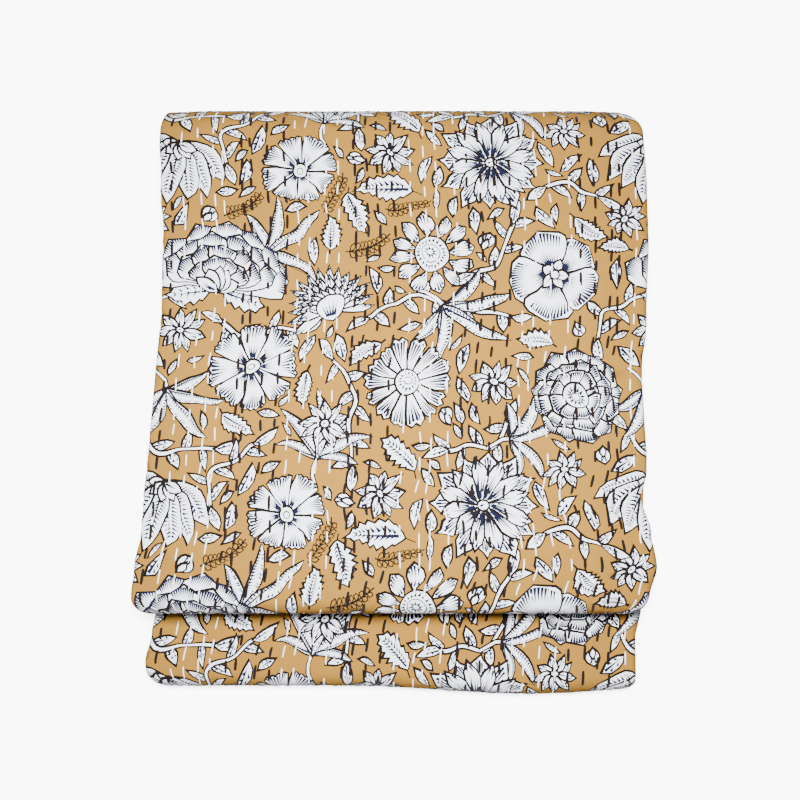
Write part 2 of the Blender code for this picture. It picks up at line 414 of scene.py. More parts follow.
def moved(shapes, x=0.0, y=0.0, turn=0.0, size=1.0):
    """Shapes made larger, turned by degrees and moved."""
    c, s = math.cos(math.radians(turn)) * size, math.sin(math.radians(turn)) * size
    return changed(shapes, lambda points: points @ np.array([[c, s], [-s, c]]) + (x, y))


def sized(shapes, size):
    """Shapes made larger or smaller, with outlines as thick as before."""
    grown = changed(shapes, lambda points: points * size)
    slack = LINE_WIDTH * (1 - size)
    return [Shape(s.ink, swollen(s.points, slack) if s.ink == LINE else s.points, s.slips) for s in grown]


def around(shapes, count, radius, start=0.0, sweep=360.0):
    """Copies of shapes in a ring, set out from the middle, no two quite alike, as a carver cuts them."""
    outward = moved(shapes, x=radius)
    copies = []
    for k in range(count):
        size = 1 + UNEVEN_SIZE * math.sin(2.4 * k * k + start)
        turn = start + sweep * k / count + UNEVEN_TURN * math.sin(5.1 * k + start)
        copies += moved(outward, turn=turn, size=size)
    return copies


def eye(inner, outer, outer_ink=LINE):
    """A white spot in a ring of dark, for the middle of a bloom: each with its radius and how many sides."""
    return [Shape(outer_ink, disc(*outer)), Shape(WHITE, disc(*inner))]


def rib_strokes(length, width, count, slant=0.10):
    """A midrib and the strokes that lean off it to both sides."""
    strokes = [((0.05 * length, 0), (0.92 * length, 0), 0.9)]
    for k in range(count):
        share = 0.14 + 0.68 * k / (count - 1)
        reach = 0.42 * width * math.sin(math.pi * share**0.85)
        for side in (-1, 1):
            root = (share * length, side * 0.16 * reach)
            strokes.append((root, ((share + slant) * length, side * reach), 0.85))
    return hatch(*strokes)


def serrated_leaf(length=34.0, width=11.5, curve=0.014, teeth=6):
    """A toothed leaf on a short stalk."""
    stem = [Shape(LINE, band([(-0.20 * length, 0), (-0.1 * length, 0), (0.02 * length, 0)], 1.2))]
    return bent(stem + inked(jagged(length, width, teeth)) + rib_strokes(length, width, 9), curve)


def long_leaf(length, width, curve):
    """A long smooth leaf, hatched along one side of its rib."""
    strokes = [((0.04 * length, -0.08 * width), (0.96 * length, 0), 0.9)]
    for k in range(19):
        share = 0.06 + 0.88 * k / 19
        reach = 0.46 * width * math.sin(math.pi * share**0.9)
        strokes.append(((share * length, reach), ((share + 0.03) * length, 0.05 * reach), 0.95))
        if k % 3:
            strokes.append(((share * length, -reach), ((share + 0.03) * length, -0.3 * reach), 0.85))
    return bent(inked(petal(length, width, 0.45, 9, 0.85)) + hatch(*strokes), curve)


def spray():
    """Long leaves that fan out from the end of one stem."""
    stem = [(-26, -5), (-18, -1), (-9, 1), (2, 0)]
    shapes = [Shape(LINE, band(stem, 4.4)), Shape(WHITE, band(stem, 2.4))]
    for turn, length, width, curve in (
        (-64, 40, 8.5, -0.020),
        (58, 42, 8.5, 0.022),
        (-33, 56, 9.5, -0.014),
        (29, 58, 9.5, 0.012),
        (-3, 66, 10.0, 0.008),
    ):
        shapes += moved(long_leaf(length, width, curve), turn=turn)
    return shapes


def leaflet(length=16.0, width=5.8, curve=0.02):
    """A small smooth leaf."""
    strokes = hatch(
        ((1.5, 0), (0.85 * length, 0), 0.8), ((5, 2.3), (7.5, 0.8), 0.8), ((9, 2.0), (11.5, 0.6), 0.8),
        ((4, -2.0), (6.5, -0.7), 0.75), ((8, -2.1), (10.5, -0.6), 0.75))
    return bent(inked(petal(length, width, 0.45, 4)) + strokes, curve)


def sunflower():
    """Broad rays round a wide seeded disc."""
    ray = inked(petal(18, 10, 0.62)) + hatch(
        ((17, 0.2), (9, 0), 0.8), ((16, 2.2), (9.5, 1.6), 0.8), ((16, -2.2), (10, -1.5), 0.8),
        ((14, 3.8), (9.5, 3.0), 0.7), ((2, 0), (8, 0), 0.9), ((3, 2), (8, 2.2), 0.8),
        ((3, -2), (8, -2.2), 0.8))
    shapes = around(ray, 12, 14.5)
    shapes += inked(disc(13.2, 22))
    shapes += around(hatch(((0, 0), (3.6, 0), 1.0)), 22, 9.0)
    return shapes + eye((6.6, 14), (7.4, 16)) + around(hatch(((0, 0), (3.6, 0.5), 1.0)), 9, 2.0)


def starburst():
    """A small star of pointed petals."""
    ray = inked(petal(14, 6.6, 0.42, 4)) + hatch(
        ((1, 0), (11, 0), 0.9), ((12.5, 0.6), (7, 1.7), 0.8), ((11, -1.2), (6, -1.9), 0.7))
    return around(ray, 9, 2.2) + inked(disc(2.4, 8)) + hatch(((-1, 0), (1.2, 0), 0.9))


def windmill():
    """Eight notched sails that spread from a ringed eye."""
    sail = inked(fringed(30, 4, 21, 4)) + hatch(
        *[((28.5, a), (15 + abs(a) * 0.8, a * 0.62), 0.95) for a in (-9, -6.5, -4, -1.4, 1.4, 4, 6.5, 9)],
        *[((3, a * 0.3), (13, a), 0.9) for a in (-3.4, -1.2, 1.2, 3.4)])
    return around(sail, 8, 5.0) + inked(disc(6.4, 14)) + eye((2.6, 8), (3.6, 10), HATCH)


def fringed_daisy():
    """Narrow notched petals with dark gaps between them."""
    between = [Shape(LINE, wedge((6, 0), (30, 0), 4.8))]
    ray = inked(fringed(25, 3.6, 10.5, 2, 4.0)) + hatch(
        ((23, 3.6), (9, 1.8), 0.85), ((22, 1.3), (5, 0.4), 0.85),
        ((22, -1.3), (7, -0.4), 0.85), ((23, -3.6), (9, -1.8), 0.85))
    shapes = around(between, 14, 4.0, 180 / 14) + around(ray, 14, 8.5)
    shapes += inked(disc(9.6, 18)) + around(hatch(((0, 0), (3.0, 0), 1.0)), 14, 5.6)
    return shapes + eye((3.0, 8), (3.8, 10))


def big_daisy():
    """Two rings of petals, with toothed tips showing between the long front ones."""
    back = inked(jagged(38, 15, 3, 0.25)) + hatch(
        ((35, 0), (20, 0), 1.0), ((33, 2.2), (20, 1.4), 0.8), ((33, -2.2), (20, -1.4), 0.8),
        ((29, 4.4), (18, 3.0), 0.9), ((29, -4.4), (18, -3.0), 0.9))
    front = inked(petal(34, 11, 0.6, 5)) + hatch(
        ((4, 0), (27, 0), 1.0), ((5, 1.0), (22, 1.9), 0.8), ((5, -1.0), (22, -1.9), 0.8),
        ((9, 2.4), (19, 3.7), 0.8), ((9, -2.4), (19, -3.7), 0.8),
        ((32.5, 0.6), (25, 2), 0.8), ((31, -1.5), (24, -3), 0.8))
    shapes = around(back, 12, 3.0, 15) + around(front, 12, 1.0)
    return shapes + inked(disc(3.4, 9)) + hatch(((-1.8, 0), (2, 0), 1.0))


def petunia():
    """Five broad lobes round a small star."""
    lobe = inked(petal(35, 37, 0.70, 8, 0.6))
    rim = [
        ((33.5 - 0.028 * a * a, a), (23.5 - 0.02 * a * a, a * 0.78), 0.95)
        for a in np.arange(-14, 15, 2.2)
    ]
    heart = [((4, a * 0.25), (21 - abs(a) * 0.6, a), 1.0) for a in (-8, -6, -4, -2, 0, 2, 4, 6, 8)]
    shapes = around(lobe + hatch(*rim, *heart), 5, 0.5, 18)
    shapes += around(inked(petal(12, 7, 0.5, 4)) + hatch(((1, 0), (9, 0), 0.9)), 5, 0, 54)
    return shapes + inked(disc(3, 9))


def round_bloom():
    """Three rings of scalloped petals, each over the one behind."""
    shapes = []
    for count, length, width, start in ((13, 37, 20, 0), (12, 29, 19, 15), (9, 20, 17, 5)):
        scallop = inked(petal(length, width, 0.80, 7, 0.6))
        rim = [
            ((length - 1.0 - 0.05 * a * a, a), (length - 7.5 - 0.03 * a * a, a * 0.7), 0.85)
            for a in np.arange(-6.8, 7, 1.7)
        ]
        shapes += around(scallop + hatch(*rim), count, 0, start)
    shapes += inked(disc(9.5, 18)) + around(hatch(((0, 0), (4.5, 0), 1.1)), 13, 4.0)
    return shapes + eye((2.8, 8), (3.6, 10))


def peony():
    """Rows of petals like scales, over a pair of jagged leaves, all rising from one root."""
    shapes = around(inked(jagged(34, 13, 4)) + rib_strokes(34, 13, 5), 2, 6, -12, 408)
    rows = ((7, 150, 60, 26), (6, 126, 50, 25), (5, 104, 40, 23), (4, 84, 30, 20))
    for count, sweep, length, width in rows:
        scale = inked(petal(length, width, 0.80, 8, 0.55))
        rim = [
            ((length - 1.2 - 0.035 * a * a, a), (length - 9.5 - 0.02 * a * a, a * 0.75), 0.9)
            for a in np.arange(-9, 9.5, 1.8)
        ]
        order = sorted(range(count), key=lambda k: -abs(k - (count - 1) / 2))
        for k in order:
            shapes += moved(scale + hatch(*rim), turn=90 - sweep / 2 + sweep * k / (count - 1))
    for turn in (30, 62, 90, 118, 150):
        heart = inked(petal(19, 9, 0.5, 5)) + hatch(((2, 0), (14, 0), 1.0), ((4, 1), (12, 2.2), 0.9))
        shapes += moved(heart, turn=turn)
    return moved(shapes, y=-28)


def lotus():
    """Long pointed petals that open from one root, the side ones bent outwards."""
    shapes = []
    for turn, length, curve in ((8, 50, 0.016), (172, 50, -0.016), (34, 54, 0.012), (146, 54, -0.012),
                                (60, 52, 0.006), (120, 52, -0.006), (90, 54, 0.0)):
        strokes = rib_strokes(length, 17, 14, 0.05)
        shapes += moved(bent(inked(petal(length, 17, 0.52, 8, 0.9)) + strokes, curve), turn=turn)
    shapes += around(inked(petal(15, 7, 0.5, 4)) + hatch(((1, 0), (11, 0), 0.9)), 5, 0, 18, 180)
    return moved(shapes, y=-24)


def thistle():
    """A fan of narrow rays in three rows, rising from a round cup."""
    shapes = []
    for count, sweep, length, width in ((15, 210, 40, 7), (13, 180, 31, 7), (10, 150, 22, 7)):
        for k in range(count):
            ray = inked(petal(length, width, 0.6, 4)) + hatch(
                ((length - 1, 0), (length - 11, 0), 1.0), ((length - 6, 1.8), (length - 13, 1.0), 0.8))
            shapes += moved(ray, turn=90 - sweep / 2 + sweep * k / (count - 1))
    shapes += moved(inked(petal(22, 24, 0.55, 8, 0.6)) + hatch(
        *[((4, a * 0.4), (16, a), 1.0) for a in (-7, -3.5, 0, 3.5, 7)]), y=-9, turn=90)
    return moved(shapes, y=-12)


def fern(length=40.0, curve=0.02):
    """A sprig with small open loops on both sides, drawn in line alone."""
    shapes = [Shape(LINE, band(np.stack([np.linspace(0, length, 8), np.zeros(8)], 1), 1.0))]
    for k in range(8):
        for side in (-1, 1):
            loop = petal(7.0 - 0.35 * k, 3.4, 0.65, 3, 0.6)
            drawn = [Shape(LINE, swollen(loop, 0.45)), Shape(GROUND, swollen(loop, -0.35))]
            shapes += moved(drawn, x=3 + k * (length - 5) / 8, turn=side * 58)
    return bent(shapes, curve)


def bud():
    """A closed bud in its cup."""
    closed = inked(petal(13, 10, 0.6, 6, 0.6))
    strokes = hatch(((12, 1.5), (6, 1.5), 0.9), ((12, -1.5), (6, -1.5), 0.9))
    return closed + strokes + inked(petal(8, 3.6, 0.5, 3))


# Where the blooms and long leaves lie on one repeat, and the vines that run between them
BLOOMS = (
    Bloom(spray, 62, 190, -40, 0.95),
    Bloom(spray, 226, 124, -62, 0.80),
    Bloom(spray, 296, 232, 28, 0.85),
    Bloom(spray, 118, 84, 8, 0.72),
    Bloom(spray, 345, 70, 78, 0.80),
    Bloom(sunflower, 52, 232, 10, 1.0),
    Bloom(petunia, 150, 214, 25, 0.98),
    Bloom(peony, 262, 228, -8, 0.95),
    Bloom(thistle, 346, 196, 20, 0.85),
    Bloom(fringed_daisy, 38, 128, 0, 0.98),
    Bloom(round_bloom, 170, 118, 8, 0.96),
    Bloom(windmill, 292, 140, 5, 0.95),
    Bloom(big_daisy, 100, 34, 12, 0.98),
    Bloom(lotus, 226, 30, 165, 0.95),
    Bloom(starburst, 106, 128, 0, 1.05),
    Bloom(starburst, 232, 170, 20, 1.1),
    Bloom(starburst, 350, 96, 12, 1.15),
    Bloom(starburst, 160, 60, 30, 0.9),
    Bloom(starburst, 22, 42, 8, 1.1),
    Bloom(windmill, 325, 28, 15, 0.80),
    Bloom(starburst, 205, 262, 5, 0.95),
)
VINES = (
    Vine(0, 178, 118, 180, 14),
    Vine(82, 214, 118, 262, -10),
    Vine(118, 100, 66, 74, 10),
    Vine(206, 96, 270, 76, -12),
    Vine(186, 160, 224, 200, 12),
    Vine(262, 178, 330, 172, -10),
    Vine(268, 30, 300, 82, 14),
    Vine(140, 10, 188, 2, 8),
    Vine(352, 150, 372, 60, 10),
)
VINE_POINTS = 20
VINE_WIDTH = 4.8
VINE_OUTLINE = 1.4
LEAFLET_PITCH = 13.0
LEAFLET_LEAN = 48
DRIFT = 0.8
SEED = 11

# What fills the rest: a drawing, its size, how many places are tried and how many kept
Filler = namedtuple("Filler", "draw size tries most")
FILLERS = (
    Filler(fern, 0.95, 500, 4),
    Filler(serrated_leaf, 1.25, 1200, 14),
    Filler(serrated_leaf, 1.0, 1200, 14),
    Filler(starburst, 0.85, 500, 4),
    Filler(serrated_leaf, 0.8, 1500, 24),
    Filler(bud, 1.0, 700, 6),
    Filler(leaflet, 1.25, 1200, 24),
    Filler(serrated_leaf, 0.62, 1500, 24),
    Filler(leaflet, 0.9, 1500, 40),
    Filler(leaflet, 0.65, 1200, 30),
)
CLEAR_ROUND = 0.5


def cells_under(outline):
    """The 1 mm cells of the repeat that an outline covers, counted round its edges."""
    low, high = np.floor(outline.min(0)).astype(int), np.ceil(outline.max(0)).astype(int)
    xs, ys = np.meshgrid(np.arange(low[0], high[0]), np.arange(low[1], high[1]))
    px, py = xs.ravel() + 0.5, ys.ravel() + 0.5
    x0, y0 = outline.T
    x1, y1 = np.roll(outline, -1, 0).T
    rises = (y0[:, None] > py) != (y1[:, None] > py)
    safe = np.where(y1 == y0, 1.0, y1 - y0)[:, None]
    crosses = rises & (px < (x1 - x0)[:, None] * (py - y0[:, None]) / safe + x0[:, None])
    inside = crosses.sum(0) % 2 == 1
    return ys.ravel()[inside] % int(REPEAT_HIGH), xs.ravel()[inside] % int(REPEAT_WIDE)


def vine_shapes(vine):
    """A vine between two places, with leaflets on its two sides by turns."""
    start, end = np.array([vine.x0, vine.y0], float), np.array([vine.x1, vine.y1], float)
    along = end - start
    side = np.array([-along[1], along[0]]) / np.linalg.norm(along)
    share = np.linspace(0, 1, VINE_POINTS)[:, None]
    swing = side * vine.bow * np.sin(math.pi * share) * (1 + 0.5 * np.sin(2 * math.pi * share))
    line = start + along * share + swing
    shapes = [Shape(LINE, band(line, VINE_WIDTH)), Shape(WHITE, band(line, VINE_WIDTH - 2 * VINE_OUTLINE))]
    for end, beyond in ((line[0], line[0] - line[1]), (line[-1], line[-1] - line[-2])):
        turn = math.degrees(math.atan2(beyond[1], beyond[0]))
        shapes += moved(leaflet(18.0, 7.0), *(end - 3 * beyond / np.linalg.norm(beyond)), turn)
    steps = np.linalg.norm(np.diff(line, axis=0), axis=1)
    run = np.concatenate([[0], np.cumsum(steps)])
    leaflets = []
    for k, at in enumerate(np.arange(LEAFLET_PITCH * 0.6, run[-1] - 4, LEAFLET_PITCH)):
        x, y = np.interp(at, run, line[:, 0]), np.interp(at, run, line[:, 1])
        ahead = [np.interp(at + 2, run, line[:, i]) for i in (0, 1)]
        heading = math.degrees(math.atan2(ahead[1] - y, ahead[0] - x))
        lean = LEAFLET_LEAN if k % 2 else -LEAFLET_LEAN
        leaflets += moved(leaflet(curve=0.02 if k % 2 else -0.02), x, y, heading + lean)
    return leaflets + shapes


def drifted(points):
    """The hand's drift in the carving: a slow wave that comes round again at the repeat's edges."""
    x, y = points.T * (2 * math.pi / np.array([[REPEAT_WIDE], [REPEAT_HIGH]]))
    across = np.sin(9 * x + 5 * y + 1) + np.sin(4 * x - 9 * y) + 0.6 * np.sin(17 * x + 3 * y)
    along = np.sin(6 * x - 8 * y + 2) + np.sin(13 * x + 4 * y) + 0.6 * np.sin(5 * x + 15 * y)
    return points + DRIFT * np.stack([across, along], 1)


def print_repeat():
    """Every shape of one repeat, in the order in which they cover each other."""
    taken = np.zeros((int(REPEAT_HIGH), int(REPEAT_WIDE)), bool)
    shapes = []

    def lay(drawing):
        """Adds a drawing and marks the cells that it takes."""
        shapes.extend(drawing)
        for s in drawing:
            if s.ink == LINE:
                taken[cells_under(s.points)] = True

    for vine in VINES:
        lay(vine_shapes(vine))
    for bloom in BLOOMS:
        lay(moved(sized(bloom.draw(), bloom.size), bloom.x, bloom.y, bloom.turn))
    chance = random.Random(SEED)
    for filler in FILLERS:
        drawing = sized(filler.draw(), filler.size)
        outlines = [Shape(LINE, swollen(s.points, CLEAR_ROUND)) for s in drawing if s.ink == LINE]
        kept = 0
        for _ in range(filler.tries):
            x, y = chance.uniform(0, REPEAT_WIDE), chance.uniform(0, REPEAT_HIGH)
            turn = chance.uniform(0, 360)
            trial = moved(outlines, x, y, turn)
            if kept < filler.most and not any(taken[cells_under(s.points)].any() for s in trial):
                lay(moved(drawing, x, y, turn))
                kept += 1
    return [Shape(s.ink, drifted(s.points + WHITE_SLIP * s.slips)) for s in shapes]


# The rows of running stitch: where they pass, they pull the cloth down into a soft channel, deepest at
# each stitch. A hand sewed them by eye, so they wander. Lengths are in millimetres of the printed face,
# and heights and depths in metres.
ROW_PITCH = (PLY["ply A"][1] - PLY["ply A"][0]) / STITCH_ROWS
STITCH_PITCH = 18.2
CHANNEL_HALF = 2.1
CHANNEL_DEPTH = 0.00042
PUCKER_HEIGHT = 0.00022
PUCKER_PITCH = 8.8
PULL_SWING = 0.25
PULL_SHIFT = 0.37
ROWS_FROM = LAYER["layer 2"][1] - 58
ROWS_TO = LAYER["upper lip"][1] + 24
END_FADE = 8
SIDE_FADE = 6
ROW_SHIFT = 2.2
SLOW_WANDER = 0.9
SLOW_WANDER_LENGTH = 150
QUICK_WANDER = 0.5
QUICK_WANDER_LENGTH = 47


def row_place(row, q):
    """Where a row of stitch lies across the cloth, at lengths along it."""
    wander = (
        ROW_SHIFT * np.sin(2.7 * row * row)
        + SLOW_WANDER * np.sin(4.1 * row + q / SLOW_WANDER_LENGTH)
        + QUICK_WANDER * np.sin(7.3 * row + q / QUICK_WANDER_LENGTH)
    )
    return PLY["ply A"][0] + (row + 0.5) * ROW_PITCH + wander


def inside(place, stretch, fade):
    """1 on a stretch and 0 off it, smooth over a fade at both ends."""
    return ease((place - stretch[0] + fade / 2) / fade) * ease((stretch[1] + fade / 2 - place) / fade)


def face_height(p, q):
    """Height of the printed face above the middle of the cloth: lower in the channels, full between them."""
    row = np.clip(((p - PLY["ply A"][0]) / ROW_PITCH).astype(int), 0, STITCH_ROWS - 1)
    nearest = np.full(len(p), np.inf)
    for beside in (-1, 0, 1):
        nearest = np.minimum(nearest, np.abs(p - row_place(np.clip(row + beside, 0, STITCH_ROWS - 1), q)))
    channel = np.exp(-((nearest / CHANNEL_HALF) ** 2))
    pulled = 1 - PULL_SWING + PULL_SWING * np.cos(2 * math.pi * (q / STITCH_PITCH + PULL_SHIFT * row))
    pucker = np.sin(2 * math.pi * q / PUCKER_PITCH + 2.4 * row * row) * (1 - channel)
    stitched = ease((q - ROWS_FROM) / END_FADE) * ease((ROWS_TO - q) / END_FADE)
    stitched *= inside(p, PLY["ply A"], SIDE_FADE)
    stitched *= 1 - inside(q, LAYER["layer 1"], END_FADE)
    return CLOTH_THICKNESS / 2 + stitched * (PUCKER_HEIGHT * pucker - CHANNEL_DEPTH * channel * pulled)


# The cloth: the whole quilt as one closed sheet, of washed plain-weave cotton with its edges turned in. Its
# printed face is cut along the edges of the print, so that each face has one ink. The finest part is what
# shows: the top, the roll, both lips and the lower panel. The underside has the print without its hatching.
Zone = namedtuple("Zone", "p0 p1 q0 q1")
MARGIN = 2.0
UNDER_LIP_REACH = 8.0
SHOWN_ACROSS = (PLY["right fold"][0] - MARGIN, PLY["left fold AB"][1] + MARGIN)
ALL_ALONG = (face_along[0] + MARGIN, face_along[-1] - MARGIN)
FINE = Zone(*SHOWN_ACROSS, ROWS_FROM, LAYER["upper lip"][1])
UNDERSIDE = Zone(*SHOWN_ACROSS, *LAYER["layer 1"])
UNDER_THE_LIP = Zone(*SHOWN_ACROSS, LAYER["layer 4"][0], LAYER["layer 4"][0] + UNDER_LIP_REACH)
SIDE_FOLDS = [PLY[name] for name in ("right fold", "left fold AB", "left fold CD")]
PLAIN = (UNDER_THE_LIP, *(Zone(start - MARGIN, end + MARGIN, *ALL_ALONG) for start, end in SIDE_FOLDS))
PRINT_SHIFT_P = 210.0
PRINT_SHIFT_Q = 120.0

# Millimetres between the points that shape the cloth, the least size of what is printed on the underside,
# and how far a print's edge may be drawn straighter than it is
FLAT_STEP = 11.0
BEND_STEP = 2.9
RIGHT_FOLD_STEPS = 8
LEFT_FOLD_STEPS = 6
LEAST_BELOW = 17.0
CUT_EPSILON = 0.0005
STRAIGHT_ENOUGH = 0.08
STRAIGHT_ENOUGH_BELOW = 0.3
LONGEST_IN_A_BEND = 3.6


def within(p, q, zone):
    """Whether places of the printed face lie in a zone."""
    return (zone.p0 <= p) & (p <= zone.p1) & (zone.q0 <= q) & (q <= zone.q1)


def in_fine(p, q):
    """Whether places lie in the part that shows from above, in front or behind."""
    return within(p, q, FINE) & ~within(p, q, UNDERSIDE)


def grid_marks(stretches, face):
    """The lines of a coarse grid, closer in the folds, in millimetres of the printed face."""
    marks = [face[0]]
    for i, s in enumerate(stretches):
        marks.extend(np.linspace(face[i], face[i + 1], s.cells + 1)[1:])
    return np.array(marks)


def shaping_points():
    """Points that give the fine part its folds and channels."""
    steps = []
    for name in ("layer 2", "lower lip", "back roll", "layer 5", "upper lip"):
        start, end = LAYER[name]
        start = max(start, FINE.q0)
        step = BEND_STEP if "lip" in name else FLAT_STEP / 2 if name == "back roll" else FLAT_STEP
        steps.extend(np.arange(start + step / 2, end, (end - start) / round((end - start) / step)))
    found = []
    for q in steps:
        for row in range(STITCH_ROWS):
            place = float(row_place(row, q))
            found.extend((place + offset, q) for offset in (-CHANNEL_HALF, 0, CHANNEL_HALF))
        for name, count in (("right fold", RIGHT_FOLD_STEPS), ("left fold AB", LEFT_FOLD_STEPS)):
            found.extend((p, q) for p in np.linspace(*PLY[name], count + 1))
    found = np.array(found)
    return found[in_fine(*found.T)]


def printed_shapes():
    """The print's shapes over all that shows of the cloth, in its own millimetres, bottom first."""
    repeat = print_repeat()
    high = np.array([face_across[-1], face_along[-1]])
    chosen = []
    for i in range(int(high[0] // REPEAT_WIDE) + 2):
        for j in range(int(high[1] // REPEAT_HIGH) + 2):
            for s in repeat:
                points = s.points + (i * REPEAT_WIDE - PRINT_SHIFT_P, j * REPEAT_HIGH - PRINT_SHIFT_Q)
                points = high - points
                if (points < 1).any() or (points > high - 1).any():
                    continue
                p, q = points.T
                if s.ink == HATCH:
                    shown = in_fine(p, q).all()
                else:
                    shown = in_fine(p, q).any() or any(within(p, q, zone).any() for zone in PLAIN)
                    if np.ptp(points, axis=0).max() > LEAST_BELOW:
                        shown = shown or within(p, q, UNDERSIDE).any()
                if shown:
                    chosen.append(Shape(s.ink, points))
    return chosen


def outer_face():
    """The printed face: its vertices in millimetres, its triangles and the ink of each."""
    ps, qs = grid_marks(ACROSS, face_across), grid_marks(ALONG, face_along)
    number = np.full((len(ps), len(qs)), -1)
    points, edges = [], []
    for i, p in enumerate(ps):
        for j, q in enumerate(qs):
            if not in_fine(p, q):
                number[i, j] = len(points)
                points.append((p, q))
    for i in range(len(ps)):
        for j in range(len(qs)):
            for ahead in ((i + 1, j), (i, j + 1)):
                if ahead[0] < len(ps) and ahead[1] < len(qs) and number[i, j] >= 0 and number[ahead] >= 0:
                    middle = (ps[i] + ps[ahead[0]]) / 2, (qs[j] + qs[ahead[1]]) / 2
                    if not in_fine(*middle):
                        edges.append((number[i, j], number[ahead]))
    fixed = len(edges)
    points.extend(shaping_points())
    seen_points, seen_edges, left_ink, right_ink = seen_print()
    edges += [(a + len(points), b + len(points)) for a, b in seen_edges]
    points.extend(seen_points)
    cut, cut_edges, triangles, _, sources, _ = delaunay_2d_cdt(
        [Vector(point) for point in points], edges, [], 0, CUT_EPSILON, True
    )
    cut = np.array([tuple(point) for point in cut])
    triangles = counterclockwise(cut, np.array(triangles))
    beside = {}
    for (x, y), source in zip(cut_edges, sources):
        printed = [k - fixed for k in source if k >= fixed]
        if printed:
            a, b = seen_edges[printed[0]]
            same = np.dot(cut[y] - cut[x], np.subtract(seen_points[b], seen_points[a])) > 0
            left, right = left_ink[printed[0]], right_ink[printed[0]]
            beside[x, y], beside[y, x] = (left, right) if same else (right, left)
    return cut, triangles, spread_inks(triangles, beside)


def counterclockwise(points, triangles):
    """The triangles with their corners in one order, so that all face the same way."""
    a, b, c = (points[triangles[:, k]] for k in range(3))
    clockwise = (b[:, 0] - a[:, 0]) * (c[:, 1] - a[:, 1]) < (b[:, 1] - a[:, 1]) * (c[:, 0] - a[:, 0])
    triangles[clockwise] = triangles[clockwise][:, ::-1]
    return triangles


def seen_print():
    """The edges of the print that are seen, once what lies on top has covered the rest, with both inks."""
    points, faces, inks = [], [], []
    for s in printed_shapes():
        faces.append(list(range(len(points), len(points) + len(s.points))))
        inks.append(s.ink)
        points.extend(Vector(point) for point in s.points)
    cut, _, triangles, _, _, sources = delaunay_2d_cdt(points, [], faces, 0, CUT_EPSILON, True)
    cut = np.array([tuple(point) for point in cut])
    triangles = counterclockwise(cut, np.array(triangles))
    low = [tuple(np.min([points[v] for v in face], 0)) for face in faces]
    high = [tuple(np.max([points[v] for v in face], 0)) for face in faces]

    def topmost(source, x, y):
        """The ink of the last printed shape over a place, among those that the cut names."""
        over = [k for k in source if low[k][0] <= x <= high[k][0] and low[k][1] <= y <= high[k][1]]
        return inks[max(over)] if over else GROUND

    middles = cut[triangles].mean(1).tolist()
    ink = [topmost(source, x, y) for source, (x, y) in zip(sources, middles)]
    on_left = {}
    for (a, b, c), colour in zip(triangles.tolist(), ink):
        on_left[a, b] = on_left[b, c] = on_left[c, a] = colour
    beyond = {}
    for (a, b), colour in on_left.items():
        if on_left.get((b, a), GROUND) != colour:
            beyond.setdefault(a, {})[b] = (colour, on_left.get((b, a), GROUND))
            beyond.setdefault(b, {})[a] = (on_left.get((b, a), GROUND), colour)
    for v in list(beyond):
        if len(beyond[v]) != 2:
            continue
        (u, inks_u), (w, inks_w) = beyond[v].items()
        chord = cut[w] - cut[u]
        reach = np.hypot(*chord)
        off = abs(chord[0] * (cut[v] - cut[u])[1] - chord[1] * (cut[v] - cut[u])[0])
        close_enough = STRAIGHT_ENOUGH if in_fine(*cut[v]) else STRAIGHT_ENOUGH_BELOW
        if w not in beyond[u] and reach > 0 and off < close_enough * reach:
            beyond[u][w], beyond[w][u] = inks_w, inks_u
            del beyond[u][v], beyond[w][v], beyond[v]
    kept = {v: k for k, v in enumerate(beyond)}
    places = [tuple(cut[v]) for v in kept]
    edges, left, right = [], [], []
    for a, ends in beyond.items():
        for b, (left_colour, right_colour) in ends.items():
            if a < b:
                inner = np.linspace(cut[a], cut[b], pieces_in_bends(cut[a], cut[b]) + 1)[1:-1]
                chain = [kept[a], *range(len(places), len(places) + len(inner)), kept[b]]
                places.extend(map(tuple, inner))
                edges.extend(zip(chain, chain[1:]))
                left.extend([left_colour] * (len(chain) - 1))
                right.extend([right_colour] * (len(chain) - 1))
    return places, edges, left, right


def pieces_in_bends(a, b):
    """How many pieces an edge needs, to follow the folds that it crosses."""
    bent = 0.0
    for axis, stretches in (
        (1, (LAYER["lower lip"], LAYER["upper lip"])),
        (0, (PLY["right fold"], PLY["left fold AB"])),
    ):
        near, far = sorted((a[axis], b[axis]))
        bent += sum(max(0.0, min(far, end) - max(near, start)) for start, end in stretches)
    return max(1, math.ceil(bent / LONGEST_IN_A_BEND))


def spread_inks(triangles, beside):
    """The ink of each triangle, spread from the print's edges as far as the next edge."""
    owner = {}
    for k, (a, b, c) in enumerate(triangles.tolist()):
        owner[a, b] = owner[b, c] = owner[c, a] = k
    ink = [None] * len(triangles)
    reached = []
    for edge, colour in beside.items():
        if edge in owner and ink[owner[edge]] is None:
            ink[owner[edge]] = colour
            reached.append(owner[edge])
    while reached:
        k = reached.pop()
        a, b, c = triangles[k].tolist()
        for x, y in ((a, b), (b, c), (c, a)):
            neighbour = owner.get((y, x))
            if neighbour is not None and (x, y) not in beside and ink[neighbour] is None:
                ink[neighbour] = ink[k]
                reached.append(neighbour)
    return np.array([GROUND if colour is None else colour for colour in ink])


def placed(name, data):
    """A new object in the scene, at the origin."""
    made = bpy.data.objects.new(name, data)
    bpy.context.scene.collection.objects.link(made)
    return made


